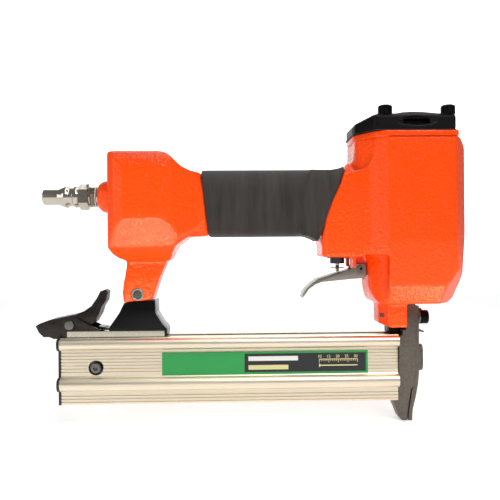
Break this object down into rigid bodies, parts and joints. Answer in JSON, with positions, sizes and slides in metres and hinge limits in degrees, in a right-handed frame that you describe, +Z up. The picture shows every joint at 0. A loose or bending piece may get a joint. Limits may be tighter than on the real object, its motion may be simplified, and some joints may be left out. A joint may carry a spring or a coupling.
{
  "type": "brad nailer",
  "caption": "Pneumatic brad nailer with a painted cast body, rubber grip, trigger valve, piston and driver blade, and a sliding brad magazine with a rear latch.",
  "frame": {"origin": "centre of the nose tip's face, where the tool rests on the work, on the mid-plane", "axes": "+X forward from the air inlet to the front of the head, +Y to the tool's left side as held, +Z up from the nose towards the cap"},
  "size_m": [0.2629, 0.06, 0.1932],
  "materials": {
    "housing_paint": "satin",
    "grip_rubber": "matte",
    "cap_black": "satin",
    "black_screws": "satin",
    "inner_aluminium": "satin",
    "seal_rubber": "matte",
    "bumper_rubber": "matte",
    "hard_steel": "satin",
    "valve_plastic": "matte",
    "spring_steel": "satin",
    "nose_steel": "satin",
    "cover_steel": "satin",
    "bracket_black": "gloss",
    "valve_black": "satin",
    "trigger_steel": "satin",
    "pin_steel": "satin",
    "plug_nickel": "polished",
    "seal_tape": "matte",
    "rail_chrome": "satin",
    "bush_steel": "polished",
    "ear_steel": "satin",
    "lever_iron": "satin",
    "magazine_aluminium": "satin",
    "label_film": "gloss"
  },
  "bodies": {
    "frame": {"housing": "housing_paint", "grip_sleeve": "grip_rubber", "cylinder_cap": "cap_black", "cap_gasket": "seal_rubber", "cap_screws": "black_screws", "cylinder": "inner_aluminium", "cylinder_seals": "seal_rubber", "bumper": "bumper_rubber", "head_valve_spring": "spring_steel", "driver_guide": "nose_steel", "guide_cover": "cover_steel", "guide_screws": "black_screws", "guide_washers": "black_screws", "rail_spacer": "bracket_black", "rail_pin": "black_screws", "valve_body": "valve_black", "valve_seals": "seal_rubber", "valve_spring": "spring_steel", "trigger_pin": "pin_steel", "air_plug": "plug_nickel", "plug_seal": "seal_tape", "fixed_rail": "rail_chrome", "support_bracket": "bracket_black", "bracket_rivets": "pin_steel", "leg_bush": "bush_steel", "leg_pin": "pin_steel", "latch_ears": "ear_steel", "latch_pin": "pin_steel", "latch_spring": "spring_steel"},
    "trigger": {"trigger": "trigger_steel"},
    "valve_stem": {"valve_stem": "hard_steel", "stem_clip": "spring_steel"},
    "piston": {"piston": "inner_aluminium", "piston_ring": "seal_rubber", "driver_blade": "hard_steel"},
    "head_valve": {"head_valve": "valve_plastic", "head_valve_rings": "seal_rubber"},
    "magazine": {"magazine_shell": "magazine_aluminium", "magazine_label": "label_film", "end_plate": "bracket_black", "plate_screw": "black_screws", "spring_seat": "valve_black", "seat_screw": "black_screws", "guide_rod": "hard_steel", "pusher_spring": "spring_steel"},
    "pusher": {"pusher": "hard_steel"},
    "latch": {"latch_lever": "lever_iron"}
  },
  "joints": [
    {"name": "trigger_pull", "type": "hinge", "parent": "frame", "child": "trigger", "pos_m": [-0.0317, 0, 0.0955], "axis": [0, 1, 0], "range_deg": [0, 9], "stiffness_Nm_per_rad": 0.3, "springref_deg": -8.59},
    {"name": "valve_stem_slide", "type": "slide", "parent": "frame", "child": "valve_stem", "axis": [0, 0, 1], "range_m": [0, 0.00202], "deforming": ["valve_spring"]},
    {"name": "piston_stroke", "type": "slide", "parent": "frame", "child": "piston", "axis": [0, 0, -1], "range_m": [0, 0.053]},
    {"name": "head_valve_lift", "type": "slide", "parent": "frame", "child": "head_valve", "axis": [0, 0, 1], "range_m": [0, 0.003], "stiffness_N_per_m": 1500, "springref_m": -0.003, "deforming": ["head_valve_spring"]},
    {"name": "magazine_slide", "type": "slide", "parent": "frame", "child": "magazine", "axis": [-1, 0, 0], "range_m": [0, 0.13]},
    {"name": "pusher_slide", "type": "slide", "parent": "magazine", "child": "pusher", "axis": [-1, 0, 0], "range_m": [0, 0.125], "stiffness_N_per_m": 30, "springref_m": -0.08, "deforming": ["pusher_spring"]},
    {"name": "latch_swing", "type": "hinge", "parent": "frame", "child": "latch", "pos_m": [-0.2108, 0, 0.0623], "axis": [0, 1, 0], "range_deg": [0, 12], "stiffness_Nm_per_rad": 0.5, "springref_deg": -11.46}
  ],
  "couplings": [
    {"joint": "valve_stem_slide", "follows": "trigger_pull", "m_per_rad": 0.0128}
  ]
}
